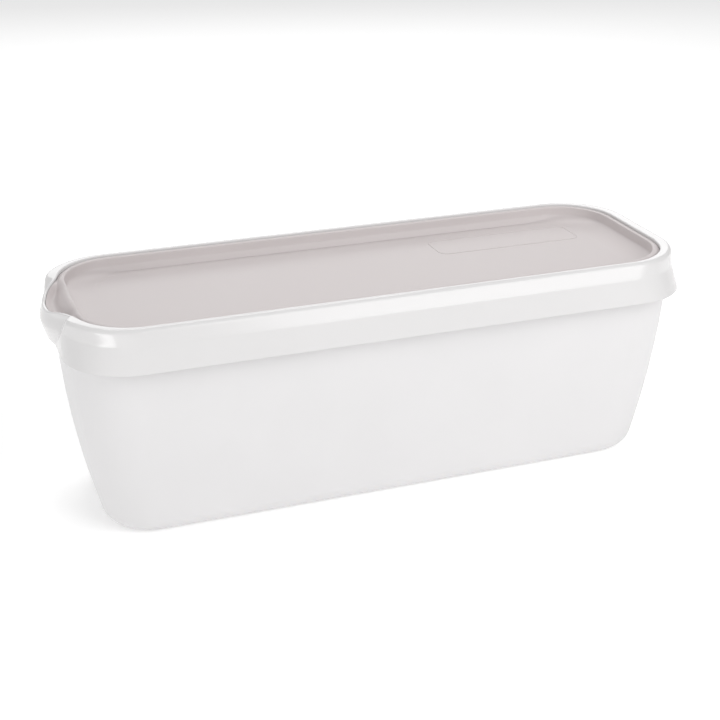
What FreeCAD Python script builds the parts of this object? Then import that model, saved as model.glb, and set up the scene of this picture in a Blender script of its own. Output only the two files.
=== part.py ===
"""Long, slim ice cream tub, shut: a smooth-sided tub, a white rim with a
thumb spout at one end, and a soft lid whose top is sunk inside the rim.

Millimetres. X runs along the tub (the spout is at -X), Y across it, Z up.
The origin is the middle of the base, on the surface the tub stands on.
Every outline is the mouth outline, a rounded rectangle, grown or shrunk.
"""
import FreeCAD, Part
import os
import math
import Sketcher

VECTOR = FreeCAD.Vector

doc = FreeCAD.newDocument("ice_cream_tub")

# ---------------------------------------------------------------- dimensions
# (alias, value, what it is)
DIMENSIONS = [
    ("overall_height", "110.7", "base to the flat top of the rim"),
    ("mouth_length", "300.0", "inner edge of the rim, along X"),
    ("mouth_width", "99.5", "inner edge of the rim, along Y"),
    ("mouth_corner", "29.0", "corner radius of the mouth"),
    # tub
    ("base_shrink_ends", "8.35", "base outline inside the mouth, each end"),
    ("base_shrink_sides", "7.4", "base outline inside the mouth, each side"),
    ("shoulder_grow_ends", "2.5", "tub under the rim, outside the mouth, each end"),
    ("side_lean_seat", "3.3", "top of the tub outside the mouth, each side"),
    ("tub_corner", "26.7", "corner radius of the tub under the rim"),
    ("base_corner", "23.9", "corner radius of the base outline"),
    ("base_round", "7.6", "rounding of the base edge"),
    ("foot_inset", "13.0", "width of the standing ring under the base"),
    ("foot_rise", "1.2", "how far the middle of the base is raised"),
    # rim
    ("band_height", "18.9", "top of the rim to the bottom of its skirt"),
    ("bead_height", "6.5", "rolled upper part of the rim"),
    ("bead_grow", "6.1", "rim outside the mouth where the skirt starts"),
    ("skirt_grow_ends", "7.35", "bottom of the skirt outside the mouth, each end"),
    ("skirt_grow_sides", "9.9", "bottom of the skirt outside the mouth, each side"),
    ("skirt_corner", "32.1", "corner radius at the bottom of the skirt"),
    ("roll_radius", "3.2", "rounding of the rim's outer top edge"),
    ("mouth_bevel", "0.5", "bevel on the rim's inner top edge"),
    ("skirt_wall", "2.2", "thickness of the skirt"),
    # thumb spout in the rim
    ("spout_reach", "8.45", "spout beyond the mouth, at the inner edge"),
    ("spout_radius", "37.0", "plan radius of the spout's tip"),
    ("spout_foot_radius", "72.0", "plan radius where the spout leaves the corners"),
    ("spout_wall_top", "1.5", "thickness of the spout's wall at its edge"),
    ("spout_wall_belly", "3.15", "the same where the spout bulges most"),
    ("spout_wall_hem", "0.9", "the same at the bottom of the skirt"),
    ("notch_ledge", "2.0", "thickness of the ledge that carries the lid's tongue"),
    ("spout_dip", "3.9", "how far the edge sinks at the tip"),
    ("spout_dip_reach", "28.0", "from the tip to where the edge is level, along Y"),
    # lid
    ("fit_gap", "0.2", "gap between the lid and the rim"),
    ("lid_drop", "0.5", "lid's bead below the top of the rim"),
    ("lid_bead", "3.6", "width of the lid's bead"),
    ("lid_bead_outer_round", "1.8", "rounding of the bead towards the rim"),
    ("lid_bead_inner_round", "1.2", "rounding of the bead towards the panel"),
    ("steep_depth", "4.6", "foot of the steep part of the lid's wall, below the rim's top"),
    ("panel_depth", "7.7", "panel below the top of the rim"),
    ("steep_draft", "0.5", "how far the steep wall leans in"),
    ("sweep_ends", "13.5", "length of the hollow sweep from wall to panel, at the ends"),
    ("sweep_sides", "1.4", "the same along the sides"),
    ("scoop_depth", "6.6", "lowest point of the thumb scoop below the top of the rim"),
    ("scoop_lip", "0.4", "edge of the lid's tongue left standing outside the scoop"),
    ("scoop_turn", "3.1", "how far the scoop's walls curve in on their way down"),
    ("scoop_start", "0.3", "edge of the scoop beyond the mouth's end"),
    ("seat_depth", "10.1", "underside of the lid below the top of the rim"),
    # raised frame on the panel
    ("frame_length", "81.0", "outside length of the raised frame"),
    ("frame_width", "22.0", "outside width of the raised frame"),
    ("frame_corner", "5.0", "outside corner radius of the raised frame"),
    ("frame_line", "0.9", "width of the frame's line"),
    ("frame_rise", "0.35", "height of the frame's line"),
    ("frame_from_end", "23.5", "frame's right end inside the mouth's end"),
    ("frame_from_side", "15.9", "frame's far side inside the mouth's side"),
]

sizes = doc.addObject("Spreadsheet::Sheet", "sizes")
for row, (alias, value, meaning) in enumerate(DIMENSIONS, start=1):
    sizes.set(f"A{row}", meaning)
    sizes.set(f"B{row}", value)
    sizes.setAlias(f"B{row}", alias)
doc.recompute()


def named(expression):
    """Write each dimension's name in an expression as a cell of the sheet."""
    words = []
    aliases = {alias for alias, value, meaning in DIMENSIONS}
    for word in expression.replace("(", "( ").replace(")", " )").split():
        words.append(f"sizes.{word}" if word in aliases else word)
    return " ".join(words)


def number(expression):
    """The value of an expression in dimensions, as a plain number."""
    return float(sizes.evalExpression(named(expression)))


def bind(feature, path, expression):
    """Tie one property of a feature to the sheet."""
    feature.setExpression(path, named(expression))


# ------------------------------------------------------------------ sketches
def new_body(label):
    body = doc.addObject("PartDesign::Body", label)
    body.Label = label
    body.Placement = FreeCAD.Placement()
    return body


def origin_plane(body, role):
    for feature in body.Origin.OriginFeatures:
        if feature.Role == role:
            return feature
    raise ValueError(role)


def new_sketch(body, name, role, offset):
    """A sketch parallel to one of the body's planes, a bound distance off it."""
    sketch = body.newObject("Sketcher::SketchObject", name)
    sketch.AttachmentSupport = [(origin_plane(body, role), "")]
    sketch.MapMode = "FlatFace"
    bind(sketch, "AttachmentOffset.Base.z", offset)
    return sketch


def constrain(sketch, name, expression, *parts):
    """Add one dimension to a sketch and bind it to the sheet."""
    index = sketch.addConstraint(Sketcher.Constraint(*parts, number(expression)))
    sketch.renameConstraint(index, name)
    bind(sketch, f"Constraints.{name}", expression)


def add_outline(sketch, length, width, corner, prefix="", middle=("0", "0")):
    """A rounded rectangle: four lines and four arcs, tangent all round.

    length, width, corner and the two coordinates of the middle are expressions.
    """
    half_x = number(length) / 2
    half_y = number(width) / 2
    radius = number(corner)
    mid_x = number(middle[0])
    mid_y = number(middle[1])
    core_x = half_x - radius
    core_y = half_y - radius

    def at(x, y):
        return VECTOR(mid_x + x, mid_y + y, 0)

    first = sketch.GeometryCount
    line_ends = [
        (at(-core_x, -half_y), at(core_x, -half_y)),
        (at(half_x, -core_y), at(half_x, core_y)),
        (at(core_x, half_y), at(-core_x, half_y)),
        (at(-half_x, core_y), at(-half_x, -core_y)),
    ]
    arc_middles = [(core_x, -core_y), (core_x, core_y), (-core_x, core_y), (-core_x, -core_y)]
    for side in range(4):
        sketch.addGeometry(Part.LineSegment(*line_ends[side]), False)
        circle = Part.Circle(at(*arc_middles[side]), VECTOR(0, 0, 1), radius)
        start = (side - 1) * math.pi / 2
        sketch.addGeometry(Part.ArcOfCircle(circle, start, start + math.pi / 2), False)
    for side in range(4):
        line = first + 2 * side
        arc = line + 1
        following = first + (2 * side + 2) % 8
        sketch.addConstraint(Sketcher.Constraint("Tangent", line, 2, arc, 1))
        sketch.addConstraint(Sketcher.Constraint("Tangent", arc, 2, following, 1))
    sketch.addConstraint(Sketcher.Constraint("Horizontal", first))
    sketch.addConstraint(Sketcher.Constraint("Vertical", first + 2))
    for side in (1, 2, 3):
        arc = first + 2 * side + 1
        sketch.addConstraint(Sketcher.Constraint("Equal", first + 1, arc))
    constrain(sketch, prefix + "corner", corner, "Radius", first + 1)
    constrain(sketch, prefix + "length", f"{length} - 2 * ( {corner} )",
              "DistanceX", first + 1 + 6, 3, first + 1, 3)
    constrain(sketch, prefix + "width", f"{width} - 2 * ( {corner} )",
              "DistanceY", first + 1, 3, first + 3, 3)
    constrain(sketch, prefix + "right", f"{middle[0]} + ( {length} ) / 2 - ( {corner} )",
              "DistanceX", -1, 1, first + 3, 3)
    constrain(sketch, prefix + "far", f"{middle[1]} + ( {width} ) / 2 - ( {corner} )",
              "DistanceY", -1, 1, first + 3, 3)


def outline_sketch(body, name, level, grow_x, grow_y, corner):
    """The mouth outline grown by grow_x at each end and grow_y at each side."""
    sketch = new_sketch(body, name, "XY_Plane", level)
    length = f"( mouth_length + 2 * ( {grow_x} ) )"
    width = f"( mouth_width + 2 * ( {grow_y} ) )"
    add_outline(sketch, length, width, corner)
    return sketch


def circles_meet(middle_a, radius_a, middle_b, radius_b):
    """The crossing of two circles that lies furthest towards -X."""
    span = middle_b - middle_a
    distance = span.Length
    along = (radius_a ** 2 - radius_b ** 2 + distance ** 2) / (2 * distance)
    aside = math.sqrt(radius_a ** 2 - along ** 2)
    unit = span / distance
    normal = VECTOR(-unit.y, unit.x, 0)
    foot = middle_a + unit * along
    return min((foot + normal * aside, foot - normal * aside), key=lambda p: p.x)


def notch_sketch(body, name, level, inset):
    """Plan of the thumb notch: a tip arc between two hollow foot arcs.

    Each foot arc runs into a corner of the mouth, tangent to it, and a chord
    inside the mouth closes the outline. inset shrinks the whole outline.
    """
    sketch = new_sketch(body, name, "XY_Plane", level)
    tip_radius = number(f"spout_radius - {inset}")
    foot_radius = number(f"spout_foot_radius + {inset}")
    corner_radius = number(f"mouth_corner - {inset}")
    tip_middle = VECTOR(number("spout_radius - spout_reach - mouth_length / 2"), 0, 0)
    corner_middle = VECTOR(number("mouth_corner - mouth_length / 2"),
                           number("mouth_width / 2 - mouth_corner"), 0)
    foot_middle = circles_meet(tip_middle, tip_radius + foot_radius,
                               corner_middle, corner_radius + foot_radius)
    up = VECTOR(0, 0, 1)

    def angle(start, end):
        return math.atan2(end.y - start.y, end.x - start.x)

    tip_half = math.pi - angle(tip_middle, foot_middle)
    tip_circle = Part.Circle(tip_middle, up, tip_radius)
    sketch.addGeometry(Part.ArcOfCircle(tip_circle, math.pi - tip_half, math.pi + tip_half), False)
    to_tip = angle(foot_middle, tip_middle)
    to_corner = angle(foot_middle, corner_middle)
    far_circle = Part.Circle(foot_middle, up, foot_radius)
    sketch.addGeometry(Part.ArcOfCircle(far_circle, to_tip, to_corner), False)
    near_middle = VECTOR(foot_middle.x, -foot_middle.y, 0)
    near_circle = Part.Circle(near_middle, up, foot_radius)
    sketch.addGeometry(Part.ArcOfCircle(near_circle, -to_corner, -to_tip), False)
    reach = foot_middle + VECTOR(math.cos(to_corner), math.sin(to_corner), 0) * foot_radius
    sketch.addGeometry(Part.LineSegment(reach, VECTOR(reach.x, -reach.y, 0)), False)
    sketch.addGeometry(Part.Circle(corner_middle, up, corner_radius), True)
    tip, far, near, chord, corner = range(5)
    sketch.addConstraint(Sketcher.Constraint("Tangent", tip, 1, far, 1))
    sketch.addConstraint(Sketcher.Constraint("Tangent", tip, 2, near, 2))
    sketch.addConstraint(Sketcher.Constraint("Coincident", far, 2, chord, 1))
    sketch.addConstraint(Sketcher.Constraint("Coincident", near, 1, chord, 2))
    sketch.addConstraint(Sketcher.Constraint("Tangent", far, 2, corner))
    sketch.addConstraint(Sketcher.Constraint("Symmetric", chord, 1, chord, 2, -1))
    sketch.addConstraint(Sketcher.Constraint("PointOnObject", tip, 3, -1))
    sketch.addConstraint(Sketcher.Constraint("Equal", far, near))
    constrain(sketch, "tip_radius", f"spout_radius - {inset}", "Radius", tip)
    constrain(sketch, "foot_radius", f"spout_foot_radius + {inset}", "Radius", far)
    constrain(sketch, "corner_radius", f"mouth_corner - {inset}", "Radius", corner)
    constrain(sketch, "tip_place", "spout_radius - spout_reach - mouth_length / 2",
              "DistanceX", -1, 1, tip, 3)
    constrain(sketch, "corner_place_x", "mouth_corner - mouth_length / 2",
              "DistanceX", -1, 1, corner, 3)
    constrain(sketch, "corner_place_y", "mouth_width / 2 - mouth_corner",
              "DistanceY", -1, 1, corner, 3)
    return sketch


def spout_sketch(body, name, level, wall, reach_x="mouth_length / 2"):
    """An arc round the notch's tip, a wall outside it, and a chord at -reach_x."""
    sketch = new_sketch(body, name, "XY_Plane", level)
    radius = number(f"spout_radius + {wall}")
    middle = VECTOR(number("spout_radius - spout_reach - mouth_length / 2"), 0, 0)
    chord_x = - number(reach_x)
    half = math.acos((middle.x - chord_x) / radius)
    circle = Part.Circle(middle, VECTOR(0, 0, 1), radius)
    sketch.addGeometry(Part.ArcOfCircle(circle, math.pi - half, math.pi + half), False)
    chord_y = radius * math.sin(half)
    near = VECTOR(chord_x, -chord_y, 0)
    far = VECTOR(chord_x, chord_y, 0)
    sketch.addGeometry(Part.LineSegment(near, far), False)
    sketch.addConstraint(Sketcher.Constraint("Coincident", 0, 2, 1, 1))
    sketch.addConstraint(Sketcher.Constraint("Coincident", 1, 2, 0, 1))
    sketch.addConstraint(Sketcher.Constraint("Vertical", 1))
    sketch.addConstraint(Sketcher.Constraint("PointOnObject", 0, 3, -1))
    constrain(sketch, "radius", f"spout_radius + {wall}", "Radius", 0)
    constrain(sketch, "middle", "spout_radius - spout_reach - mouth_length / 2",
              "DistanceX", -1, 1, 0, 3)
    constrain(sketch, "chord", f"- ( {reach_x} )", "DistanceX", -1, 1, 1, 1)
    return sketch


# ------------------------------------------------------------------ features
def loft(body, kind, name, sections, ruled):
    feature = body.newObject(f"PartDesign::{kind}Loft", name)
    feature.Profile = sections[0]
    feature.Sections = sections[1:]
    feature.Ruled = ruled
    hide(sections)
    return feature


def pad(body, name, sketch, height):
    feature = body.newObject("PartDesign::Pad", name)
    feature.Profile = sketch
    bind(feature, "Length", height)
    hide([sketch])
    return feature


def pocket(body, name, sketch, depth):
    """Cut downwards (against the sketch's normal) by a bound depth."""
    feature = body.newObject("PartDesign::Pocket", name)
    feature.Profile = sketch
    bind(feature, "Length", depth)
    hide([sketch])
    return feature


def fillet(body, name, base, edges, radius):
    feature = body.newObject("PartDesign::Fillet", name)
    feature.Base = (base, edges)
    bind(feature, "Radius", radius)
    return feature


def hide(sketches):
    for sketch in sketches:
        sketch.Visibility = False


def edges_at(feature, level, keep=lambda edge: True):
    """Names of the edges that lie wholly at one height and pass a test."""
    names = []
    for index, edge in enumerate(feature.Shape.Edges, start=1):
        box = edge.BoundBox
        if abs(box.ZMin - level) < 0.01 and abs(box.ZMax - level) < 0.01 and keep(edge):
            names.append(f"Edge{index}")
    return names


def reach(edge):
    """How far an edge reaches from the middle, along X and along Y."""
    box = edge.BoundBox
    return max(abs(box.XMin), abs(box.XMax)), max(abs(box.YMin), abs(box.YMax))


def check_cut(feature, before):
    """A cut that misses the solid raises no error, so compare the volumes."""
    doc.recompute()
    if feature.Shape.Volume > before - 1.0:
        raise RuntimeError(f"{feature.Name} removed nothing")


# ----------------------------------------------------------------------- tub
SHOULDER_LEVEL = "( overall_height - band_height )"
SEAT_LEVEL = "( overall_height - seat_depth )"
SWEEP_STEPS = 4
ROUND_STEPS = 3
WALL_STEPS = 5
SCOOP_STEPS = 4


def make_tub():
    """Solid tub: a rounded base edge, sides that lean out and ends that bow.

    One ruled loft runs through every level. The first levels follow a quarter
    circle round the base edge, the next ones climb the wall, and the last is
    the seat under the lid. The ends bow out and stand upright at the shoulder.
    """
    body = new_body("tub")
    levels = []
    for step in range(ROUND_STEPS):
        turn = 90 * step / ROUND_STEPS
        level = f"( base_round * ( 1 - cos( {turn} deg ) ) )"
        inset = f"( base_round * ( 1 - sin( {turn} deg ) ) )"
        levels.append(tub_level(body, f"tub_round_{step}", level, inset))
    for step in range(WALL_STEPS + 1):
        climb = f"( {step} / {WALL_STEPS} )"
        level = f"( base_round + ( {SHOULDER_LEVEL} - base_round ) * {climb} )"
        levels.append(tub_level(body, f"tub_wall_{step}", level, "0"))
    levels.append(outline_sketch(body, "tub_seat", SEAT_LEVEL, "shoulder_grow_ends",
                                 "side_lean_seat", "tub_corner"))
    shell = loft(body, "Additive", "tub_block", levels, True)
    doc.recompute()

    volume = shell.Shape.Volume
    inset = "base_shrink_ends + foot_inset"
    foot = outline_sketch(body, "tub_foot_ring", "0", f"- ( {inset} )",
                          "- ( base_shrink_sides + foot_inset )", "base_corner - foot_inset")
    hollow = pocket(body, "tub_raised_base", foot, "foot_rise")
    hollow.Reversed = True
    check_cut(hollow, volume)
    body.Tip = hollow
    return body


def tub_level(body, name, level, inset):
    """The tub's outline at one height, less an inset all round."""
    rise = f"( {level} / {SHOULDER_LEVEL} )"
    bow = f"( 1 - ( 1 - {rise} ) ^ 2 )"
    ends = f"( base_shrink_ends + shoulder_grow_ends ) * {bow} - base_shrink_ends - {inset}"
    sides = (f"( base_shrink_sides + side_lean_seat ) * {level} / {SEAT_LEVEL}"
             f" - base_shrink_sides - {inset}")
    corner = f"base_corner + ( tub_corner - base_corner ) * {rise} - {inset}"
    return outline_sketch(body, name, level, ends, sides, corner)


# ----------------------------------------------------------------------- rim
def make_rim():
    """Rim: a rolled bead over a flared skirt, one moulding with the thumb spout.

    The spout is its own loft, smooth through five levels, so that it swells
    out of the bead, is widest half-way down and dies away into the skirt. The
    notch inside it and the dipped edge are cut afterwards.
    """
    body = new_body("rim")
    top = "overall_height"
    fold_level = "( overall_height - bead_height )"
    hem = outline_sketch(body, "rim_hem", SHOULDER_LEVEL, "skirt_grow_ends",
                         "skirt_grow_sides", "skirt_corner")
    fold = outline_sketch(body, "rim_fold", fold_level, "bead_grow", "bead_grow",
                          "mouth_corner + bead_grow")
    loft(body, "Additive", "rim_skirt", [hem, fold], True)
    crown = outline_sketch(body, "rim_bead_plan", fold_level, "bead_grow", "bead_grow",
                           "mouth_corner + bead_grow")
    bead = pad(body, "rim_bead", crown, "bead_height")
    doc.recompute()
    rolled = fillet(body, "rim_roll", bead, edges_at(bead, number(top)), "roll_radius")
    doc.recompute()

    volume = rolled.Shape.Volume
    levels = [
        ("spout_hem", f"{SHOULDER_LEVEL}", "spout_wall_hem"),
        ("spout_low", f"{top} - band_height * 0.76", "spout_wall_hem * 0.45 + spout_wall_belly * 0.55"),
        ("spout_belly", f"{top} - band_height * 0.53", "spout_wall_belly"),
        ("spout_high", f"{top} - band_height * 0.26", "spout_wall_top * 0.7 + spout_wall_belly * 0.3"),
        ("spout_edge", top, "spout_wall_top"),
    ]
    shells = [spout_sketch(body, name, height, wall) for name, height, wall in levels]
    spout = loft(body, "Additive", "rim_spout", shells, False)
    doc.recompute()
    if spout.Shape.Volume < volume + 1.0:
        raise RuntimeError("the spout adds nothing to the rim")

    volume = spout.Shape.Volume
    mouth = outline_sketch(body, "rim_mouth", top, "0", "0", "mouth_corner")
    opened = pocket(body, "rim_opening", mouth, "band_height + 1")
    check_cut(opened, volume)
    softened = body.newObject("PartDesign::Chamfer", "rim_mouth_bevel")
    softened.Base = (opened, edges_at(opened, number(top), is_mouth_edge))
    bind(softened, "Size", "mouth_bevel")
    doc.recompute()

    volume = softened.Shape.Volume
    notch = notch_sketch(body, "rim_notch", top, "0")
    notched = pocket(body, "rim_thumb_notch", notch, "seat_depth")
    check_cut(notched, volume)

    volume = notched.Shape.Volume
    below = outline_sketch(body, "rim_hollow_hem", SHOULDER_LEVEL, "skirt_grow_ends - skirt_wall",
                           "skirt_grow_sides - skirt_wall", "skirt_corner - skirt_wall")
    part = "( ( band_height - seat_depth ) / ( band_height - bead_height ) )"
    above = outline_sketch(
        body, "rim_hollow_seat", SEAT_LEVEL,
        f"skirt_grow_ends + ( bead_grow - skirt_grow_ends ) * {part} - skirt_wall",
        f"skirt_grow_sides + ( bead_grow - skirt_grow_sides ) * {part} - skirt_wall",
        f"skirt_corner + ( mouth_corner + bead_grow - skirt_corner ) * {part} - skirt_wall")
    hollow = loft(body, "Subtractive", "rim_hollow", [below, above], True)
    check_cut(hollow, volume)

    volume = hollow.Shape.Volume
    cores = [
        spout_sketch(body, "spout_core_hem", SHOULDER_LEVEL, "spout_wall_hem - skirt_wall"),
        spout_sketch(body, "spout_core_floor", f"{SEAT_LEVEL} - notch_ledge",
                     "spout_wall_belly - skirt_wall"),
    ]
    cored = loft(body, "Subtractive", "rim_spout_core", cores, True)
    check_cut(cored, volume)

    volume = cored.Shape.Volume
    dip = dip_sketch(body, "rim_dip", "- mouth_length / 2 - 0.5", "0")
    dipped = pocket(body, "rim_dipped_edge", dip, "spout_reach + 10")
    check_cut(dipped, volume)
    body.Tip = dipped
    return body


def is_mouth_edge(edge):
    reach_x, reach_y = reach(edge)
    return reach_x < number("mouth_length / 2 + 0.1") and reach_y < number("mouth_width / 2 + 0.1")


def dip_sketch(body, name, offset, drop):
    """The dipped edge seen along X: one hollow arc between two that turn it level.

    drop is how far the level part lies below the top of the rim.
    """
    sketch = new_sketch(body, name, "YZ_Plane", offset)
    half = number("spout_dip_reach")
    depth = number("spout_dip")
    top = number(f"overall_height - {drop}")
    clear = number("roll_radius")
    bend = "( spout_dip_reach ^ 2 + spout_dip ^ 2 ) / ( 4 * spout_dip )"
    radius = number(bend)
    turn = math.asin(half / 2 / radius)
    axis = VECTOR(0, 0, 1)
    hollow = Part.Circle(VECTOR(0, top - depth + radius, 0), axis, radius)
    sketch.addGeometry(Part.ArcOfCircle(hollow, 1.5 * math.pi - turn, 1.5 * math.pi + turn), False)
    right = Part.Circle(VECTOR(half, top - radius, 0), axis, radius)
    sketch.addGeometry(Part.ArcOfCircle(right, 0.5 * math.pi, 0.5 * math.pi + turn), False)
    left = Part.Circle(VECTOR(-half, top - radius, 0), axis, radius)
    sketch.addGeometry(Part.ArcOfCircle(left, 0.5 * math.pi - turn, 0.5 * math.pi), False)
    corners = [VECTOR(half, top, 0), VECTOR(half, top + clear, 0),
               VECTOR(-half, top + clear, 0), VECTOR(-half, top, 0)]
    for start, end in zip(corners, corners[1:]):
        sketch.addGeometry(Part.LineSegment(start, end), False)
    for first, first_end, second, second_end in ((0, 2, 1, 2), (0, 1, 2, 1)):
        sketch.addConstraint(Sketcher.Constraint("Tangent", first, first_end, second, second_end))
    for first, first_end, second, second_end in ((1, 1, 3, 1), (3, 2, 4, 1), (4, 2, 5, 1), (5, 2, 2, 2)):
        sketch.addConstraint(Sketcher.Constraint("Coincident", first, first_end, second, second_end))
    sketch.addConstraint(Sketcher.Constraint("Vertical", 3))
    sketch.addConstraint(Sketcher.Constraint("Vertical", 5))
    sketch.addConstraint(Sketcher.Constraint("Horizontal", 4))
    sketch.addConstraint(Sketcher.Constraint("PointOnObject", 0, 3, -2))
    sketch.addConstraint(Sketcher.Constraint("Vertical", 1, 1, 1, 3))
    sketch.addConstraint(Sketcher.Constraint("Vertical", 2, 2, 2, 3))
    constrain(sketch, "bend", bend, "Radius", 0)
    sketch.addConstraint(Sketcher.Constraint("Equal", 0, 1))
    sketch.addConstraint(Sketcher.Constraint("Equal", 0, 2))
    constrain(sketch, "level_edge", f"overall_height - {drop}", "DistanceY", -1, 1, 1, 1)
    constrain(sketch, "right_end", "spout_dip_reach", "DistanceX", -1, 1, 1, 1)
    constrain(sketch, "left_end", "spout_dip_reach", "DistanceX", 2, 2, -1, 1)
    constrain(sketch, "clearance", "roll_radius", "DistanceY", 3, 1, 3, 2)
    return sketch


# ----------------------------------------------------------------------- lid
def make_lid():
    """Lid: a bead inside the rim, a steep wall, a hollow sweep and a flat panel.

    Its underside lies on the tub. A tongue fills the spout and is scooped out
    for a thumb, and a fine raised frame lines the panel near one end.
    """
    body = new_body("lid")
    top = "overall_height"
    plate = outline_sketch(body, "lid_plate", SEAT_LEVEL, "- fit_gap", "- fit_gap",
                           "mouth_corner - fit_gap")
    block = pad(body, "lid_block", plate, "seat_depth - lid_drop")
    doc.recompute()

    volume = block.Shape.Volume
    bead = "fit_gap + lid_bead"
    mouth = lid_level(body, "lid_mouth", f"{top} - lid_drop", bead, bead)
    lean = f"{bead} + steep_draft"
    foot = lid_level(body, "lid_steep_foot", f"{top} - steep_depth", lean, lean)
    steep = loft(body, "Subtractive", "lid_steep_wall", [mouth, foot], True)
    check_cut(steep, volume)

    # at the ends a quarter of an ellipse, one level for each step of its
    # angle; at the sides a straight slope to a crisp fold
    volume = steep.Shape.Volume
    sweep = []
    for step in range(SWEEP_STEPS):
        turn = 90 * step / SWEEP_STEPS
        level = f"{top} - steep_depth - ( panel_depth - steep_depth ) * sin( {turn} deg )"
        sweep.append(lid_level(body, f"lid_sweep_{step}", level,
                               f"{lean} + sweep_ends * ( 1 - cos( {turn} deg ) )",
                               f"{lean} + sweep_sides * sin( {turn} deg )"))
    sweep.append(lid_level(body, "lid_panel", f"{top} - panel_depth", f"{lean} + sweep_ends",
                           f"{lean} + sweep_sides"))
    swept = loft(body, "Subtractive", "lid_hollow_sweep", sweep, True)
    check_cut(swept, volume)

    crest = number(f"{top} - lid_drop")
    inner = edges_at(swept, crest, lambda edge: not is_bead_outside(edge))
    soft = fillet(body, "lid_bead_inner", swept, inner, "lid_bead_inner_round")
    doc.recompute()
    outer = edges_at(soft, crest, is_bead_outside)
    softer = fillet(body, "lid_bead_outer", soft, outer, "lid_bead_outer_round")
    doc.recompute()

    volume = softer.Shape.Volume
    tongue_plan = notch_sketch(body, "lid_tongue_plan", SEAT_LEVEL, "fit_gap")
    tongue = pad(body, "lid_tongue", tongue_plan, "seat_depth - lid_drop")
    doc.recompute()
    if tongue.Shape.Volume < volume + 1.0:
        raise RuntimeError("the tongue adds nothing to the lid")

    volume = tongue.Shape.Volume
    dip = dip_sketch(body, "lid_dip", "- mouth_length / 2", "lid_drop")
    dipped = pocket(body, "lid_dipped_edge", dip, "spout_reach + 10")
    check_cut(dipped, volume)

    volume = dipped.Shape.Volume
    scoop = []
    for step in range(SCOOP_STEPS + 1):
        turn = 90 * step / SCOOP_STEPS
        inward = f"( scoop_turn * ( 1 - cos( {turn} deg ) ) )"
        scoop.append(spout_sketch(body, f"lid_scoop_{step}", f"{top} - scoop_depth * sin( {turn} deg )",
                                  f"( - fit_gap - scoop_lip - {inward} )",
                                  f"( mouth_length / 2 + scoop_start + {inward} )"))
    scooped = loft(body, "Subtractive", "lid_thumb_scoop", scoop, True)
    check_cut(scooped, volume)

    frame = new_sketch(body, "lid_frame", "XY_Plane", f"{top} - panel_depth - frame_rise")
    middle = ("( mouth_length / 2 - frame_from_end - frame_length / 2 )",
              "( mouth_width / 2 - frame_from_side - frame_width / 2 )")
    add_outline(frame, "frame_length", "frame_width", "frame_corner", "outer_", middle)
    add_outline(frame, "( frame_length - 2 * frame_line )", "( frame_width - 2 * frame_line )",
                "( frame_corner - frame_line )", "inner_", middle)
    body.Tip = pad(body, "lid_raised_frame", frame, "2 * frame_rise")
    return body


def lid_level(body, name, level, inset_x, inset_y):
    """One level of the hollow in the lid, inside the mouth by the two insets."""
    return outline_sketch(body, name, level, f"- ( {inset_x} )", f"- ( {inset_y} )",
                          "mouth_corner - lid_bead - fit_gap - steep_draft")


def is_bead_outside(edge):
    reach_x, reach_y = reach(edge)
    return (reach_x > number("mouth_length / 2 - lid_bead / 2")
            or reach_y > number("mouth_width / 2 - lid_bead / 2"))


# --------------------------------------------------------------------- build
bodies = [make_tub(), make_rim(), make_lid()]
doc.recompute()

for feature in doc.Objects:
    if "Invalid" in feature.State or "Error" in feature.State:
        raise RuntimeError(f"{feature.Name} failed: {feature.State}")

os.makedirs("parts", exist_ok=True)
for body in bodies:
    shape = body.Shape
    if shape.isNull() or not shape.isValid() or len(shape.Solids) != 1:
        raise RuntimeError(f"{body.Label} is not one valid solid")
    shape.exportStep(f"parts/{body.Label}.step")
    box = shape.BoundBox
    print(f"{body.Label}: {shape.Volume / 1000:.1f} cm3, faces {len(shape.Faces)}, "
          f"x {box.XMin:.2f}..{box.XMax:.2f}, y {box.YMin:.2f}..{box.YMax:.2f}, "
          f"z {box.ZMin:.2f}..{box.ZMax:.2f}")
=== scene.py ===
# %% [markdown]
# A long, slim ice cream tub, shut. Three mouldings make it: a white tub, a
# glossy white rim with a thumb spout at one end, and a soft warm grey lid
# that is sunk inside the rim. The engineering model gives the frame: where
# each part is and how large it is. Everything here is built over it.

# %% Load the frame
import math
import bmesh
import bpy
import numpy as np
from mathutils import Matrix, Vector


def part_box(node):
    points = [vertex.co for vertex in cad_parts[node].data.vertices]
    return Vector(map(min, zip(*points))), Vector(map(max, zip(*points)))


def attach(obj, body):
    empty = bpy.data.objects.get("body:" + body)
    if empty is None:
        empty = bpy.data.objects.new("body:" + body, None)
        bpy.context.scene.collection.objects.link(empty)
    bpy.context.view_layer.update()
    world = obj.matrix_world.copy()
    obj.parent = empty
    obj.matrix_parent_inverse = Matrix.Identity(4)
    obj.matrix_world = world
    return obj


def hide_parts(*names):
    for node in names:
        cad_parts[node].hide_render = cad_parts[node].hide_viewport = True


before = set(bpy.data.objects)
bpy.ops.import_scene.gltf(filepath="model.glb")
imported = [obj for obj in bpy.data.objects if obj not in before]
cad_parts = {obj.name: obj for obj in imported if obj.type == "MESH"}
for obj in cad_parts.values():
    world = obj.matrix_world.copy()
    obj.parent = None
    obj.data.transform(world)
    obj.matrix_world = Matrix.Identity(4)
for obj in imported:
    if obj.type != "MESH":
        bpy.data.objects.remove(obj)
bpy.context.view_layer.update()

print("parts:", sorted(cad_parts))

# %% [markdown]
# The tub is a family of rounded rectangles, so its measures are few. They
# are the model's own sizes in millimetres, but for the fold between the rim's
# upper face and its skirt, which lies 0.8 mm lower here. Depths are counted
# down from the flat top of the rim, as a lid and a rim are drawn.

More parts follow.
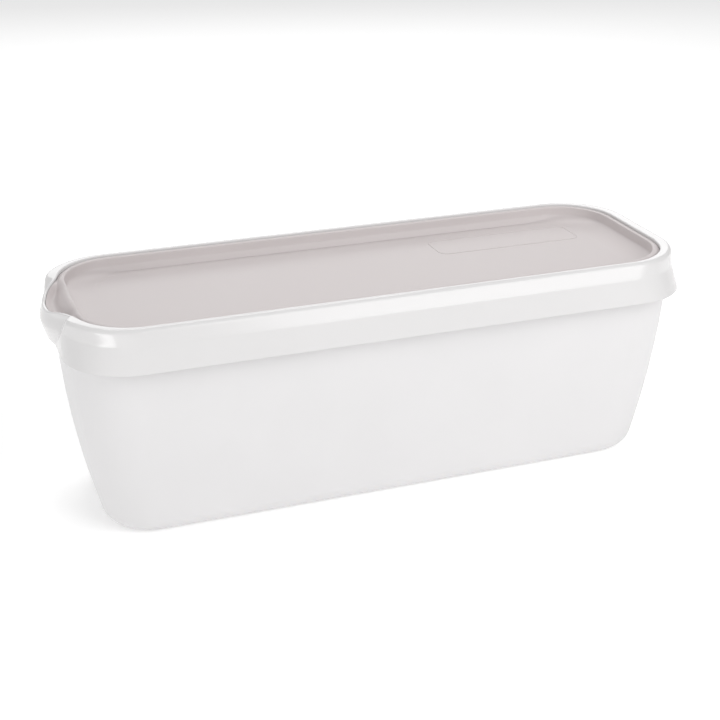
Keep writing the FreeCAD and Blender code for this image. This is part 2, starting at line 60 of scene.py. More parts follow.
# %% Measures in millimetres
MM = 0.001
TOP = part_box("rim")[1].z / MM
MOUTH_X, MOUTH_Y, MOUTH_CORNER = 150.0, 49.75, 29.0
BAND_DEPTH = 18.9
FOLD_DEPTH = 7.3
SEAT_DEPTH = 10.1
TIP_X, TIP_RADIUS, FOOT_RADIUS = -121.45, 37.0, 72.0
print(f"top of the rim at {TOP:.1f} mm")

# %% [markdown]
# Every surface is a stack of closed rings, and every ring has one point on
# each of the same spokes. Along the sides the spokes run straight out from
# the middle line; at both ends they fan out from one point. Using the same
# spokes for all parts keeps their points in line, and a ring is then only a
# distance along each spoke. Two crossed cylinders or a subdivided box could
# make a similar tub, but would not give its corners their exact radius.

# %% Spokes
SIDE_STEPS = 72
FAN_STEPS = 128


def spokes(left_turn=None):
    """Start and direction of each spoke, anticlockwise seen from above.

    The near and far sides have parallel spokes. The ends have fans from
    (-TIP_X, 0) and (TIP_X, 0). left_turn holds the angles of the left fan,
    measured from -X, and may have one row for each ring.
    """
    even = np.arange(FAN_STEPS) / FAN_STEPS
    if left_turn is None:
        left_turn = (even * np.pi - np.pi / 2)[None, :]
    rows = left_turn.shape[0]
    across = np.arange(SIDE_STEPS) / SIDE_STEPS * 2 - 1
    ones = np.ones((rows, 1))
    zero = np.zeros(SIDE_STEPS)
    right_turn = ones * (even * np.pi - np.pi / 2)
    start_x = np.hstack([ones * (-across * TIP_X), ones * np.full(FAN_STEPS, -TIP_X),
                         ones * (across * TIP_X), ones * np.full(FAN_STEPS, TIP_X)])
    along_x = np.hstack([ones * zero, np.cos(right_turn), ones * zero, -np.cos(left_turn)])
    along_y = np.hstack([ones * (zero - 1), np.sin(right_turn), ones * (zero + 1),
                         -np.sin(left_turn)])
    return start_x, along_x, along_y


def reach(spoke, half_x, half_y, corner):
    """Distance along each spoke to a rounded rectangle.

    A spoke leaves through an end, through a side, or through a corner's
    circle, where the distance solves a quadratic.
    """
    start_x, along_x, along_y = spoke
    side_x = np.where(start_x < 0, -1.0, 1.0)
    side_y = np.where(along_y < 0, -1.0, 1.0)
    core_x, core_y = half_x - corner, half_y - corner
    with np.errstate(divide="ignore", invalid="ignore"):
        to_end = (side_x * half_x - start_x) / along_x
        to_side = half_y / np.abs(along_y)
    on_end = (to_end > 0) & (np.abs(to_end * along_y) <= core_y)
    on_side = np.abs(start_x + to_side * along_x) <= core_x
    off_x, off_y = start_x - side_x * core_x, -side_y * core_y
    half_b = off_x * along_x + off_y * along_y
    inside = half_b ** 2 - off_x ** 2 - off_y ** 2 + corner ** 2
    to_corner = -half_b + np.sqrt(np.maximum(inside, 0))
    return np.where(on_end, to_end, np.where(on_side, to_side, to_corner))


def place(spoke, distance, depth):
    """Points of the rings: a distance along each spoke, at a depth below the top."""
    start_x, along_x, along_y = spoke
    distance, depth = np.broadcast_arrays(distance, depth)
    return np.stack([start_x + distance * along_x, distance * along_y, TOP - depth], axis=-1)


def ramp(value):
    """A smooth step from 0 to 1: 3v^2 - 2v^3, level at both ends."""
    value = np.clip(value, 0, 1)
    return value * value * (3 - 2 * value)


def glide(at, marks, values):
    """A smooth curve through marked values, with cubic pieces.

    Each piece leaves a mark with the mean slope of its neighbours, so the
    curve has no corners. values may carry one column for each spoke.
    """
    marks = np.asarray(marks, float)
    values = np.asarray(values, float)
    slope = np.gradient(values, marks, axis=0)
    piece = np.clip(np.searchsorted(marks, at, side="right") - 1, 0, len(marks) - 2)
    width = marks[piece + 1] - marks[piece]
    part = np.clip((at - marks[piece]) / width, 0, 1)
    if values.ndim > 1:
        part, width = part[:, None], width[:, None]
    return ((2 * part ** 3 - 3 * part ** 2 + 1) * values[piece]
            + (part ** 3 - 2 * part ** 2 + part) * width * slope[piece]
            + (3 * part ** 2 - 2 * part ** 3) * values[piece + 1]
            + (part ** 3 - part ** 2) * width * slope[piece + 1])


plain = spokes()
print("spokes:", plain[0].shape[1])

# %% [markdown]
# A stack of rings becomes a mesh by joining each ring to the next with
# four-sided faces. A solid part closes on its middle line, where the spokes
# start, and a ring-shaped part joins its last ring to its first. Points that
# fall together are merged, and then the faces are turned outwards.

# %% From rings to a piece
SHARP_ANGLE = math.radians(28)


def make_piece(name, rings, material, loop=False):
    """A closed mesh from rings, an array of (ring, spoke, 3) in millimetres."""
    count, across = rings.shape[:2]
    index = np.arange(count * across).reshape(count, across)
    if loop:
        index = np.vstack([index, index[:1]])
    low, high = index[:-1], index[1:]
    faces = np.stack([low, np.roll(low, -1, 1), np.roll(high, -1, 1), high], axis=-1)
    mesh = bpy.data.meshes.new(name)
    mesh.from_pydata((rings.reshape(-1, 3) * MM).tolist(), [], faces.reshape(-1, 4).tolist())
    work = bmesh.new()
    work.from_mesh(mesh)
    bmesh.ops.remove_doubles(work, verts=work.verts, dist=1e-6)
    bmesh.ops.recalc_face_normals(work, faces=work.faces)
    open_edges = sum(1 for edge in work.edges if not edge.is_manifold)
    work.to_mesh(mesh)
    work.free()
    mesh.shade_smooth()
    mesh.set_sharp_from_angle(angle=SHARP_ANGLE)
    mesh.materials.append(material)
    piece = bpy.data.objects.new(name, mesh)
    bpy.context.scene.collection.objects.link(piece)
    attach(piece, "root")
    print(f"{name}: {len(mesh.polygons)} faces, {open_edges} open edges")
    return piece

# %% [markdown]
# The mouldings are coloured right through, so the finish is all in the
# surface: how smooth it is, how evenly it cooled and how it has been
# handled. One recipe serves all three. A broad, soft noise drifts the colour
# and the gloss by a hair, and a fine noise is the grain of the mould.

# %% The plastic recipe
NOISE_LOW, NOISE_HIGH = 0.3, 0.7
BROAD_DETAIL, FINE_DETAIL = 3.0, 2.0


def plastic(name, colour, drift, rough, rough_drift, patch, grain, grain_height):
    """Moulded plastic: colour and gloss drift over patches, grain is a bump.

    patch and grain are the sizes of the two noises in millimetres, and
    grain_height is the height of the grain in millimetres.
    """
    material = bpy.data.materials.new(name)
    material.use_nodes = True
    nodes, links = material.node_tree.nodes, material.node_tree.links
    shader = nodes["Principled BSDF"]
    where = nodes.new("ShaderNodeTexCoord").outputs["Object"]

    def noise(size, detail):
        node = nodes.new("ShaderNodeTexNoise")
        node.inputs["Scale"].default_value = 1 / (size * MM)
        node.inputs["Detail"].default_value = detail
        links.new(where, node.inputs["Vector"])
        return node.outputs["Fac"]

    broad, fine = noise(patch, BROAD_DETAIL), noise(grain, FINE_DETAIL)
    tint = nodes.new("ShaderNodeValToRGB")
    tint.color_ramp.elements[0].position = NOISE_LOW
    tint.color_ramp.elements[1].position = NOISE_HIGH
    tint.color_ramp.elements[0].color = (*[part * (1 - drift) for part in colour], 1)
    tint.color_ramp.elements[1].color = (*[min(1, part * (1 + drift)) for part in colour], 1)
    links.new(broad, tint.inputs["Fac"])
    links.new(tint.outputs["Color"], shader.inputs["Base Color"])
    gloss = nodes.new("ShaderNodeMapRange")
    gloss.inputs["From Min"].default_value = NOISE_LOW
    gloss.inputs["From Max"].default_value = NOISE_HIGH
    gloss.inputs["To Min"].default_value = rough - rough_drift
    gloss.inputs["To Max"].default_value = rough + rough_drift
    links.new(broad, gloss.inputs["Value"])
    links.new(gloss.outputs["Result"], shader.inputs["Roughness"])
    bump = nodes.new("ShaderNodeBump")
    bump.inputs["Strength"].default_value = 1.0
    bump.inputs["Distance"].default_value = grain_height * MM
    links.new(fine, bump.inputs["Height"])
    links.new(bump.outputs["Normal"], shader.inputs["Normal"])
    return material


tub_white = plastic("tub_satin_white", (0.69, 0.681, 0.684), drift=0.012,
                    rough=0.42, rough_drift=0.05, patch=45, grain=0.9, grain_height=0.010)
rim_white = plastic("rim_gloss_white", (0.695, 0.686, 0.686), drift=0.006,
                    rough=0.16, rough_drift=0.03, patch=60, grain=2.5, grain_height=0.006)
lid_grey = plastic("lid_soft_grey", (0.575, 0.530, 0.528), drift=0.02,
                   rough=0.46, rough_drift=0.05, patch=30, grain=0.7, grain_height=0.012)
print("materials:", [item.name for item in (tub_white, rim_white, lid_grey)])

# %% [markdown]
# The tub. Its long sides lean out in a straight line, but its ends bow out
# and stand upright under the rim, which makes it stiff and lets it slide off
# its mould. A quarter circle rounds the base edge, and the middle of the base
# is raised a little, so that the tub stands on a ring and doesn't rock.

# %% Tub
BASE_X, BASE_Y, BASE_CORNER = 141.65, 42.35, 23.9
SHOULDER_X, SEAT_Y, TUB_CORNER = 152.5, 53.05, 26.7
BASE_ROUND = 7.6
FOOT_INSET, FOOT_RISE, FOOT_BLEND = 13.0, 1.2, 2.4
NECK_STEP = 4
SHOULDER = TOP - BAND_DEPTH
SEAT = TOP - SEAT_DEPTH


def tub_ring(height, inset):
    """Reach of the tub's outline at each height, less an inset.

    The ends follow a parabola that is upright at the shoulder, and the sides
    and the corners' radius follow straight lines.
    """
    rise = np.minimum(height / SHOULDER, 1)
    half_x = BASE_X + (SHOULDER_X - BASE_X) * (1 - (1 - rise) ** 2) - inset
    half_y = BASE_Y + (SEAT_Y - BASE_Y) * height / SEAT - inset
    corner = BASE_CORNER + (TUB_CORNER - BASE_CORNER) * rise - inset
    return reach(plain, half_x[:, None], half_y[:, None], corner[:, None])


turn = np.linspace(0, np.pi / 2, 15)
round_height = BASE_ROUND * (1 - np.cos(turn))
round_inset = BASE_ROUND * (1 - np.sin(turn))
wall_height = np.linspace(BASE_ROUND, SHOULDER, 41)[1:]
height = np.concatenate([round_height, wall_height, [SHOULDER + NECK_STEP, SEAT]])
inset = np.concatenate([round_inset, np.zeros(len(wall_height) + 2)])
outside = place(plain, tub_ring(height, inset), TOP - height[:, None])

foot_part = np.linspace(0, 1, 7)
foot_inset = FOOT_INSET + FOOT_BLEND * foot_part
foot = place(plain, tub_ring(np.zeros(len(foot_part)), foot_inset),
             TOP - FOOT_RISE * ramp(foot_part)[:, None])
inner_part = np.array([0.0, 0.25, 0.5, 0.75])[:, None]
underside = place(plain, tub_ring(np.zeros(1), foot_inset[-1:]) * inner_part, TOP - FOOT_RISE)
ring_part = np.array([0.33, 0.66])[:, None]
standing = place(plain, tub_ring(np.zeros(1), foot_inset[:1]) * (1 - ring_part)
                 + tub_ring(np.zeros(1), np.array([BASE_ROUND])) * ring_part, TOP)
seat_part = np.array([0.75, 0.5, 0.25, 0.0])[:, None]
seat = place(plain, tub_ring(np.array([SEAT]), np.zeros(1)) * seat_part, SEAT_DEPTH)
tub = make_piece("tub_body", np.concatenate([underside, foot[::-1], standing, outside, seat]),
                 tub_white)
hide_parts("tub")

# %% [markdown]
# The rim's inner edge. It follows the mouth, except at the spout, where a
# round tip reaches beyond the mouth and two hollow arcs lead back into the
# mouth's corners. The edge also sinks towards the tip, so that ice cream
# can be scraped over it and a thumb can get under the lid.

# %% Mouth, notch and dip
EDGE_DIP, DIP_WIDTH = 3.9, 14.6
DIP_END, DIP_FADE = 34, 8
TINY = 1e-9
CORNER_MIDDLE = np.array([MOUTH_CORNER - MOUTH_X, MOUTH_Y - MOUTH_CORNER])


def crossing(middle_a, radius_a, middle_b, radius_b):
    """The crossing of two circles that lies furthest towards -X."""
    span = middle_b - middle_a
    distance = np.hypot(*span)
    along = (radius_a ** 2 - radius_b ** 2 + distance ** 2) / (2 * distance)
    aside = math.sqrt(radius_a ** 2 - along ** 2)
    normal = np.array([-span[1], span[0]]) / distance
    foot_point = middle_a + span / distance * along
    return min(foot_point + normal * aside, foot_point - normal * aside, key=lambda point: point[0])


tip_middle = np.array([TIP_X, 0.0])
foot_middle = crossing(tip_middle, TIP_RADIUS + FOOT_RADIUS, CORNER_MIDDLE,
                       MOUTH_CORNER + FOOT_RADIUS)
touch = CORNER_MIDDLE + (foot_middle - CORNER_MIDDLE) * MOUTH_CORNER / (MOUTH_CORNER + FOOT_RADIUS)
TIP_TURN = math.atan2(foot_middle[1], TIP_X - foot_middle[0])
FOOT_TURN = math.atan2(touch[1], TIP_X - touch[0])
print(f"notch turns at {math.degrees(TIP_TURN):.1f} and {math.degrees(FOOT_TURN):.1f} degrees")


def on_left(spoke):
    """True for the spokes of the left fan, and their angle from -X."""
    left = (spoke[0] <= TIP_X + TINY) & (spoke[1] < TINY)
    return left, np.where(left, np.arctan2(np.abs(spoke[2]), -spoke[1]), np.pi)


def mouth_reach(spoke, grow=0.0):
    """Distance to the mouth outline grown evenly by an amount."""
    return reach(spoke, MOUTH_X + grow, MOUTH_Y + grow, MOUTH_CORNER + grow)


def notch_reach(spoke):
    """Distance to the mouth with its thumb notch: tip circle, foot circle, mouth."""
    left, angle = on_left(spoke)
    off_x, off_y = TIP_X - foot_middle[0], -foot_middle[1]
    half_b = -off_x * np.cos(angle) + off_y * np.sin(angle)
    square = half_b ** 2 - off_x ** 2 - off_y ** 2 + FOOT_RADIUS ** 2
    to_foot = -half_b - np.sqrt(np.maximum(square, 0))
    notch = np.where(angle < TIP_TURN, TIP_RADIUS, to_foot)
    return np.where(left & (angle < FOOT_TURN), notch, mouth_reach(spoke))


def dip(spoke, distance):
    """How far the edge sinks: a bell along Y, faded out towards the corners."""
    left = on_left(spoke)[0]
    across = np.abs(distance * spoke[2])
    bell = EDGE_DIP / (1 + (across / DIP_WIDTH) ** 4) * ramp((DIP_END - across) / DIP_FADE)
    return np.where(left, bell, 0.0)


print(f"notch tip at x {place(plain, notch_reach(plain), 0)[..., 0].min():.2f}")

# %% [markdown]
# The rim. Its section is a rolled bead, an upper face that leans in towards
# the bead, a crisp fold, and a skirt that flares out below it. The lean lets
# the upper face mirror a light that the skirt doesn't. The spout is a thin
# wall that follows the notch and swells half-way down. The rolled bead
# doesn't run into the spout: it sinks and rounds off on both sides of it,
# which leaves a sharp hollow crease. So the outside is, on each spoke,
# whichever reaches further, and each ring's fan is stretched until one of its
# spokes lies exactly in the crease. A boolean union would leave long thin
# faces there and a ragged edge. The rings' depths have to rise one after
# another, or the skirt would cross itself, so their smallest step is printed.

# %% Rim
BEAD_GROW = 6.3
FLARE_X, FLARE_Y, FLARE_CORNER = 7.35, 9.9, 32.1
FACE_LEAN_X, FACE_LEAN_Y = 0.3, 3.2
ROLL, LOBE_ROLL = 1.8, 5.0
LOBE_START, LOBE_END, LOBE_SINK = 30.5, 20.0, 9.5
LOBE_BLEND = 8.0
FAR_OFF = 1e3
SPOUT_DEPTHS = [0.0, 4.0, 8.0, 10.2, 12.6, 15.2, 18.9]
SPOUT_WALLS = [1.5, 1.65, 2.75, 3.13, 2.7, 1.9, 0.8]
EDGE_ROUND = 0.6
WALL = 2.2


def sunk(radius, below):
    """How far a quarter-round edge of some radius draws in, at a depth below its top."""
    left_over = np.clip(radius - below, 0, radius)
    return radius - np.sqrt(radius ** 2 - left_over ** 2)


def band_reach(spoke, depth):
    """Distance to the rolled bead and the skirt, which sink beside the spout."""
    flare = np.clip((depth - FOLD_DEPTH) / (BAND_DEPTH - FOLD_DEPTH), 0, 1)
    above = np.clip(1 - depth / FOLD_DEPTH, 0, 1)
    half_x = MOUTH_X + BEAD_GROW + (FLARE_X - BEAD_GROW) * flare - FACE_LEAN_X * above
    half_y = MOUTH_Y + BEAD_GROW + (FLARE_Y - BEAD_GROW) * flare - FACE_LEAN_Y * above
    full_corner = MOUTH_CORNER + BEAD_GROW
    corner = full_corner + (FLARE_CORNER - full_corner) * flare - FACE_LEAN_Y * above
    full = reach(spoke, half_x, half_y, corner)
    left = on_left(spoke)[0]
    across = np.where(left, np.abs(full * spoke[2]), FAR_OFF)
    sink = LOBE_SINK * ramp((LOBE_START - across) / (LOBE_START - LOBE_END))
    rounding = ramp((LOBE_START + LOBE_BLEND / 2 - across) / LOBE_BLEND)
    radius = ROLL + (LOBE_ROLL - ROLL) * rounding
    below = depth - sink
    return np.where(below < -TINY, 0.0, full - sunk(radius, np.maximum(below, 0)))


def flank_reach(spoke, depth, edge):
    """Distance to the spout's wall, whose top edge is rounded."""
    wall = glide(np.clip(depth, 0, BAND_DEPTH), SPOUT_DEPTHS, SPOUT_WALLS)
    return notch_reach(spoke) + wall - sunk(EDGE_ROUND, np.maximum(depth - edge, 0))


def ring_depth(spoke, nominal):
    """Depth of a ring on each spoke: the bead's rings crowd below a sunken edge."""
    edge = dip(spoke, notch_reach(spoke))
    return nominal + edge * np.clip(1 - nominal / FOLD_DEPTH, 0, 1), edge


CREASE_LIMIT, CREASE_TRIALS = math.radians(80), 1201


def crease_turn(nominal):
    """Angle of the crease on each ring: the last place where the spout is outside."""
    trial = np.linspace(0, CREASE_LIMIT, CREASE_TRIALS)[None, :] * np.ones((len(nominal), 1))
    spoke = (np.full(trial.shape, TIP_X), -np.cos(trial), np.sin(trial))
    depth, edge = ring_depth(spoke, nominal[:, None])
    ahead = flank_reach(spoke, depth, edge) > band_reach(spoke, depth)
    last = trial.shape[1] - 1 - np.argmax(ahead[:, ::-1], axis=1)
    return trial[0, last]


FACE_LEVELS = [2.4, 3.3, 4.3, 5.4]
FOLD_HALF = 0.12
SKIRT_START, SKIRT_STEPS = 8.2, 15
HEM_STEPS = [0.5, 0.2, 0.05]

roll_turn = np.radians(np.arange(0, 91, 9))
nominal = np.concatenate([ROLL * (1 - np.cos(roll_turn)), FACE_LEVELS,
                          [FOLD_DEPTH - FOLD_HALF, FOLD_DEPTH + FOLD_HALF],
                          np.linspace(SKIRT_START, BAND_DEPTH - HEM_STEPS[0], SKIRT_STEPS),
                          [BAND_DEPTH - HEM_STEPS[1], BAND_DEPTH - HEM_STEPS[2]]])
print(f"rim rings: {len(nominal)}, smallest step {np.diff(nominal).min():.3f} mm")
crease = crease_turn(nominal)
print("crease from", np.degrees(crease[[0, -1]]).round(1), "degrees at the top and the hem")

CREASE_PLACE = 0.5


def stretched(crease_angle):
    """Spokes whose left fan is stretched so that one spoke lies in the crease."""
    even = np.arange(FAN_STEPS) / FAN_STEPS * 2 - 1
    size = np.abs(even)[None, :]
    near_tip = crease_angle[:, None] * size / CREASE_PLACE
    past_crease = (size - CREASE_PLACE) / (1 - CREASE_PLACE)
    rest = crease_angle[:, None] + (np.pi / 2 - crease_angle[:, None]) * past_crease
    return spokes(np.sign(even) * np.where(size <= CREASE_PLACE, near_tip, rest))


wide = stretched(crease)
depth, edge = ring_depth(wide, nominal[:, None])
outer_reach = np.maximum(flank_reach(wide, depth, edge), band_reach(wide, depth))
skirt = place(wide, outer_reach, depth)

BEVEL, HEM_BEVEL, CORE_BEVEL = 0.4, 0.25, 0.4
WALL_CLEAR, SEAT_CLEAR, LIP_CLEAR = 0.6, 0.4, 0.2
LEDGE_THICK, LEDGE_FADE = 2.0, 2.0
LOW_INSIDE, HIGH_INSIDE = SEAT_DEPTH - 1.0, 6.0

first = stretched(crease[:1])
edge_top = dip(first, notch_reach(first))
lip_part = np.array([0.0, 0.25, 0.5, 0.75])[:, None]
lip_start = notch_reach(first) + BEVEL
lip = place(first, lip_start + (outer_reach[:1] - lip_start) * lip_part, edge_top)
hem = stretched(crease[-1:])
hem_out = outer_reach[-1:]
hem_wall = np.minimum(WALL, hem_out - mouth_reach(hem) - WALL_CLEAR)
seat_line = stretched(crease[nominal.searchsorted(SEAT_DEPTH):][:1])
seat_level = np.full(seat_line[1].shape, SEAT_DEPTH)
seat_out = np.maximum(flank_reach(seat_line, SEAT_DEPTH, 0), band_reach(seat_line, seat_level))
beyond = ramp((notch_reach(seat_line) - mouth_reach(seat_line)) / LEDGE_FADE)
ledge = SEAT_DEPTH + LEDGE_THICK * beyond
hidden = np.concatenate([
    place(hem, hem_out - HEM_BEVEL, BAND_DEPTH),
    place(hem, hem_out - hem_wall + HEM_BEVEL, BAND_DEPTH),
    place(hem, hem_out - hem_wall, BAND_DEPTH - HEM_BEVEL),
    place(seat_line, seat_out - WALL, ledge + CORE_BEVEL),
    place(seat_line, seat_out - WALL - CORE_BEVEL, ledge),
    place(seat_line, mouth_reach(seat_line) + WALL_CLEAR, ledge),
    place(seat_line, mouth_reach(seat_line) + SEAT_CLEAR, SEAT_DEPTH),
    place(seat_line, notch_reach(seat_line) + LIP_CLEAR * (1 - beyond), SEAT_DEPTH),
    place(first, notch_reach(first), LOW_INSIDE),
    place(first, notch_reach(first), HIGH_INSIDE),
    place(first, notch_reach(first), edge_top + BEVEL),
])
rim = make_piece("rim_band", np.concatenate([lip, skirt, hidden]), rim_white, loop=True)
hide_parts("rim")

# %% [markdown]
# The lid. From the rim inwards it has a soft bead whose top leans towards the
# rim, a steep wall, and a panel. At the ends a hollow sweep carries the wall
# into the panel, which leaves no corner to wipe out; at the sides the wall
# meets the panel in a crisp fold, with a fine groove and ridge along its foot.
# In the spout the lid is scooped out for a thumb, so the bead widens there
# into a ridge. Each spoke has six marked depths from the rim to the crest, and
# a smooth curve runs through them. Where the notch turns back into the mouth
# the lid stands off the rim by a slit, which is wider on the near side.

# %% Lid
GAP = 0.2
CREST_INSET, CREST_DEPTH = 3.1, 0.5
STEEP_INSET, STEEP_FOOT_INSET, STEEP_DEPTH = 3.8, 4.3, 4.6
PANEL_DEPTH, SWEEP_ENDS, SWEEP_SIDES = 7.7, 13.5, 1.4
SCOOP_FADE, SCOOP_FOLLOW, SCOOP_BASE = 5.0, 0.55, 4.1
SLIT_PLACE, SLIT_WIDTH, SLIT_GAP = 26.5, 3.5, 0.9
SLIT_NEAR, SLIT_FAR = 1.0, 0.2

tongue = notch_reach(plain)
across = np.abs(tongue * plain[2])
in_left = on_left(plain)[0]
slit_share = np.where(plain[2] < 0, SLIT_NEAR, SLIT_FAR) * in_left
slit = slit_share * np.exp(-((across - SLIT_PLACE) / SLIT_WIDTH) ** 2)
outer = tongue - GAP - SLIT_GAP * slit
crest = reach(plain, MOUTH_X - CREST_INSET, MOUTH_Y - CREST_INSET, MOUTH_CORNER - CREST_INSET)
edge = dip(plain, tongue)
scoop = ramp((tongue - mouth_reach(plain)) / SCOOP_FADE)
bottom = edge * SCOOP_FOLLOW + SCOOP_BASE
bead_marks = np.array([1.7, 1.2, 0.85, 0.62, 0.52, CREST_DEPTH])[:, None] + 0 * edge
scoop_marks = np.concatenate([edge + 0.55, bottom, bottom * 0.93, bottom * 0.55,
                              0 * edge + 1.0, 0 * edge + CREST_DEPTH])
marked = bead_marks + (scoop_marks - bead_marks) * scoop
mark_places = [0.0, 0.28, 0.42, 0.62, 0.82, 1.0]
part = np.linspace(0, 1, 25)
top_depth = glide(part, mark_places, marked)
top_rings = place(plain, outer + (crest - outer) * part[:, None], top_depth)

BEAD_DROP = 0.9
WALL_TOP = CREST_DEPTH + BEAD_DROP

round_turn = np.radians([15, 35, 55, 75])[:, None]
bend = STEEP_INSET - CREST_INSET
shoulder_inset = CREST_INSET + bend * np.sin(round_turn)
shoulder_depth = CREST_DEPTH + BEAD_DROP * (1 - np.cos(round_turn))
steep_part = np.linspace(0, 1, 5)[:, None]
steep_inset = STEEP_INSET + (STEEP_FOOT_INSET - STEEP_INSET) * steep_part
steep_depth = WALL_TOP + (STEEP_DEPTH - WALL_TOP) * steep_part
wall_inset = np.vstack([shoulder_inset, steep_inset])
wall_corner = MOUTH_CORNER - wall_inset
wall_rings = place(plain, reach(plain, MOUTH_X - wall_inset, MOUTH_Y - wall_inset, wall_corner),
                   np.vstack([shoulder_depth, steep_depth]))
sweep_turn = np.linspace(0, np.pi / 2, 15)[1:, None]
sweep_x = STEEP_FOOT_INSET + SWEEP_ENDS * (1 - np.cos(sweep_turn))
sweep_y = STEEP_FOOT_INSET + SWEEP_SIDES * np.sin(sweep_turn)
sweep_depth = STEEP_DEPTH + (PANEL_DEPTH - STEEP_DEPTH) * np.sin(sweep_turn)
sweep_reach = reach(plain, MOUTH_X - sweep_x, MOUTH_Y - sweep_y, MOUTH_CORNER - STEEP_FOOT_INSET)
sweep_rings = place(plain, sweep_reach, sweep_depth)

SIDE_FROM, SIDE_FADE = 0.93, 0.06
LID_SIDE_LEVEL = 8.0

beside = ramp((np.abs(plain[2]) - SIDE_FROM) / SIDE_FADE)
line_inset = np.array([0.3, 0.6, 0.9, 1.2, 1.5])[:, None]
line_drop = np.array([0.16, 0.1, -0.04, -0.03, 0.0])[:, None]
fold_rings = place(plain, sweep_reach[-1:] - line_inset, PANEL_DEPTH + line_drop * beside)
panel_part = np.array([0.95, 0.9, 0.8, 0.65, 0.5, 0.35, 0.2, 0.0])[:, None]
panel_rings = place(plain, (sweep_reach[-1:] - line_inset[-1]) * panel_part, PANEL_DEPTH)
under_part = np.array([0.0, 0.3, 0.6, 0.9])[:, None]
under_rings = place(plain, outer * under_part, SEAT_DEPTH)
side_rings = np.concatenate([place(plain, outer, SEAT_DEPTH), place(plain, outer, LID_SIDE_LEVEL),
                             place(plain, outer, (LID_SIDE_LEVEL + marked[:1]) / 2)])
lid = make_piece("lid_cover", np.concatenate([under_rings, side_rings, top_rings, wall_rings,
                                              sweep_rings, fold_rings, panel_rings]), lid_grey)
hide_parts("lid")

# %% [markdown]
# A fine raised line frames a bare field on the panel, where a label could
# sit. It is a shallow arch carried round a rounded rectangle, so it is one
# closed ring whose feet lie just inside the panel.

# %% Frame line
FRAME_X, FRAME_Y, FRAME_CORNER = 40.5, 11.0, 5.0
FRAME_END_INSET, FRAME_SIDE_INSET = 23.5, 15.9
FRAME_MIDDLE = (MOUTH_X - FRAME_END_INSET - FRAME_X, MOUTH_Y - FRAME_SIDE_INSET - FRAME_Y)
LINE_WIDTH, LINE_HEIGHT, LINE_SINK = 0.9, 0.27, 0.15
ARCH_POWER = 0.8
LINE_STEPS = 24


def frame_ring(inset, lift):
    """Rounded rectangle: corner middles plus a radius turned through each quarter."""
    quarter = np.linspace(0, np.pi / 2, LINE_STEPS)
    turns = (quarter[None, :] + np.arange(4)[:, None] * np.pi / 2 - np.pi / 2).ravel()
    sign_x = np.repeat([1, 1, -1, -1], LINE_STEPS)
    sign_y = np.repeat([-1, 1, 1, -1], LINE_STEPS)
    radius = FRAME_CORNER - inset
    x = FRAME_MIDDLE[0] + sign_x * (FRAME_X - FRAME_CORNER) + radius * np.cos(turns)
    y = FRAME_MIDDLE[1] + sign_y * (FRAME_Y - FRAME_CORNER) + radius * np.sin(turns)
    return np.stack([x, y, np.full(x.shape, TOP - PANEL_DEPTH + lift)], axis=-1)


arch = np.linspace(0, np.pi, 9)
arch_rings = [frame_ring(LINE_WIDTH / 2 * (1 - math.cos(angle)),
                         LINE_HEIGHT * abs(math.sin(angle)) ** ARCH_POWER)
              for angle in arch]
feet = [frame_ring(LINE_WIDTH, -LINE_SINK), frame_ring(0.0, -LINE_SINK)]
make_piece("lid_frame_line", np.stack(arch_rings + feet), lid_grey, loop=True)

# %% [markdown]
# The floor is one large pale sheet. It glows a little of its own accord, as
# a lit table top does, so that the tub's shadow stays short and soft and the
# sheet reads as plain white around it. Further back it dims to a pale grey.

# %% Floor
FLOOR_SPAN, FLOOR_WHITE, FLOOR_GLOW, FLOOR_ROUGH = 12.0, 0.90, 0.26, 0.9

scene = bpy.context.scene
floor_mesh = bpy.data.meshes.new("studio_floor")
floor_mesh.from_pydata([(-FLOOR_SPAN, -FLOOR_SPAN, 0), (FLOOR_SPAN, -FLOOR_SPAN, 0),
                        (FLOOR_SPAN, FLOOR_SPAN, 0), (-FLOOR_SPAN, FLOOR_SPAN, 0)], [], [(0, 1, 2, 3)])
floor = bpy.data.objects.new("studio_floor", floor_mesh)
scene.collection.objects.link(floor)
floor_white = bpy.data.materials.new("studio_floor_white")
floor_white.use_nodes = True
floor_shader = floor_white.node_tree.nodes["Principled BSDF"]
floor_shader.inputs["Base Color"].default_value = (FLOOR_WHITE, FLOOR_WHITE, FLOOR_WHITE, 1)
floor_shader.inputs["Roughness"].default_value = FLOOR_ROUGH
floor_shader.inputs["Emission Color"].default_value = (1, 1, 1, 1)
floor_shader.inputs["Emission Strength"].default_value = FLOOR_GLOW
floor_mesh.materials.append(floor_white)
print("floor:", floor_mesh.vertices[2].co[:2])

# %% [markdown]
# The surround is brighter on some sides than on others, as a white tent in a
# studio is. Each side glows by how squarely it is faced, which is the cosine
# of the angle to its middle, raised to a power that keeps the glow together.
# The right side adds nothing of its own.

# %% Surround
SURROUND_EVEN = 0.245
SURROUND = [("front", (0, -1, 0), 2, 0.08), ("back", (0, 1, 0), 2, 0.52),
            ("left", (-1, 0, 0), 2, 0.40), ("front left", (-0.64, -0.77, 0), 4, 0.85),
            ("top", (0, 0, 1), 4, 0.38)]

world = bpy.data.worlds.new("studio")
world.use_nodes = True
nodes, links = world.node_tree.nodes, world.node_tree.links
view_line = nodes.new("ShaderNodeTexCoord").outputs["Generated"]


def maths(operation, first_value, second_value, third_value=0.0):
    """One sum on the surround's brightness, from sockets or plain numbers."""
    node = nodes.new("ShaderNodeMath")
    node.operation = operation
    for place_in, value in enumerate((first_value, second_value, third_value)):
        if isinstance(value, float):
            node.inputs[place_in].default_value = value
        else:
            links.new(value, node.inputs[place_in])
    return node.outputs["Value"]


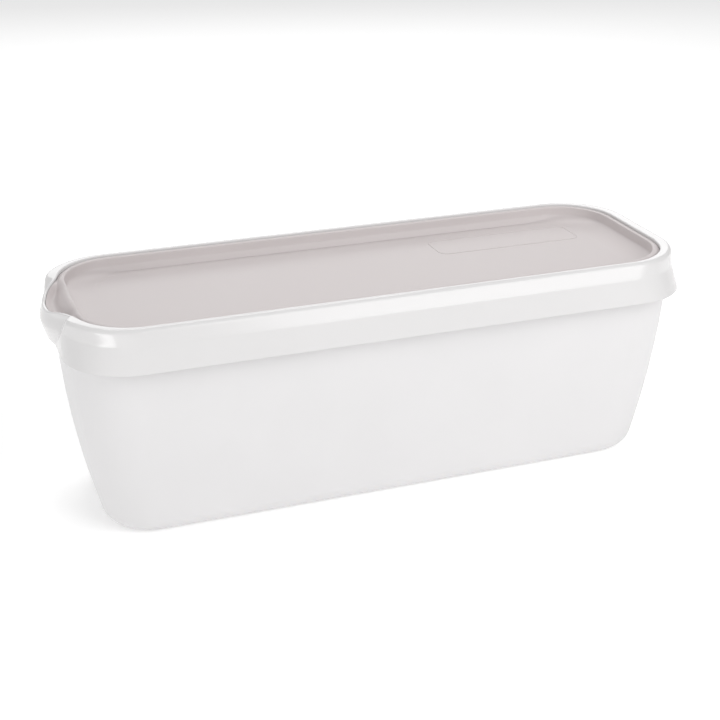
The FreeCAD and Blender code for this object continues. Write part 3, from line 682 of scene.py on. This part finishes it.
total = SURROUND_EVEN
for side, middle, power, strength in SURROUND:
    facing = nodes.new("ShaderNodeVectorMath")
    facing.operation = "DOT_PRODUCT"
    facing.inputs[1].default_value = middle
    links.new(view_line, facing.inputs[0])
    glow = maths("POWER", maths("MAXIMUM", facing.outputs["Value"], 0.0), float(power))
    total = maths("MULTIPLY_ADD", glow, strength, total)
links.new(total, nodes["Background"].inputs["Color"])
scene.world = world
print("surround:", [(side, strength) for side, _, _, strength in SURROUND])

# %% [markdown]
# Four soft boxes give the gloss something to mirror. The large one stands in
# front, to the right, and its lower edge is set so that the rim's leaning
# upper face mirrors it and the steeper skirt below doesn't: the rim gets a
# bright band with a clean edge. A small one stands low on the left and puts
# one glint on the near corner. The one overhead and the one at the back draw
# a thin light line along the rim's rounded top, and stay out of the picture.

# %% Soft boxes


def soft_box(name, spot, aim, width, height, power):
    """A rectangular soft light at a spot, facing an aim point, in metres and watts."""
    light = bpy.data.lights.new(name, "AREA")
    light.shape = "RECTANGLE"
    light.size, light.size_y, light.energy = width, height, power
    lamp = bpy.data.objects.new(name, light)
    scene.collection.objects.link(lamp)
    lamp.location = spot
    lamp.rotation_mode = "QUATERNION"
    lamp.rotation_quaternion = (Vector(aim) - Vector(spot)).to_track_quat("-Z", "Y")
    return lamp


boxes = [soft_box("front_soft_box", (0.50, -0.82, 0.76), (-0.03, -0.05, 0.1), 0.82, 0.8, 6.8),
         soft_box("corner_soft_box", (-0.93, -0.64, 0.17), (-0.14, -0.05, 0.105), 0.5, 0.16, 1.1),
         soft_box("overhead_soft_box", (0.1, 0.55, 0.95), (0, 0, 0.1), 0.6, 0.35, 2.6),
         soft_box("back_soft_box", (0.33, 1.16, 0.59), (0, 0, 0.1), 1.2, 0.35, 2.0)]
print("soft boxes:", [(lamp.name, lamp.data.energy) for lamp in boxes])

# %% [markdown]
# The camera looks down at the near long side from the front left. The plain
# "Standard" view keeps whites white.

# %% Camera
PITCH, YAW = math.radians(23.84), math.radians(-20.0)
CAMERA_SPOT = (-0.2246, -0.6069, 0.3413)
LENS, SENSOR_WIDTH = 68.775, 36

scene.view_settings.view_transform = "Standard"
camera_data = bpy.data.cameras.new("camera")
camera_data.lens, camera_data.sensor_width = LENS, SENSOR_WIDTH
camera = bpy.data.objects.new("camera", camera_data)
scene.collection.objects.link(camera)
camera.location = CAMERA_SPOT
towards = Vector((-math.sin(YAW) * math.cos(PITCH), math.cos(YAW) * math.cos(PITCH),
                  -math.sin(PITCH)))
camera.rotation_mode = "QUATERNION"
camera.rotation_quaternion = towards.to_track_quat("-Z", "Y")
scene.camera = camera
print("camera looks along", [round(part, 3) for part in towards])
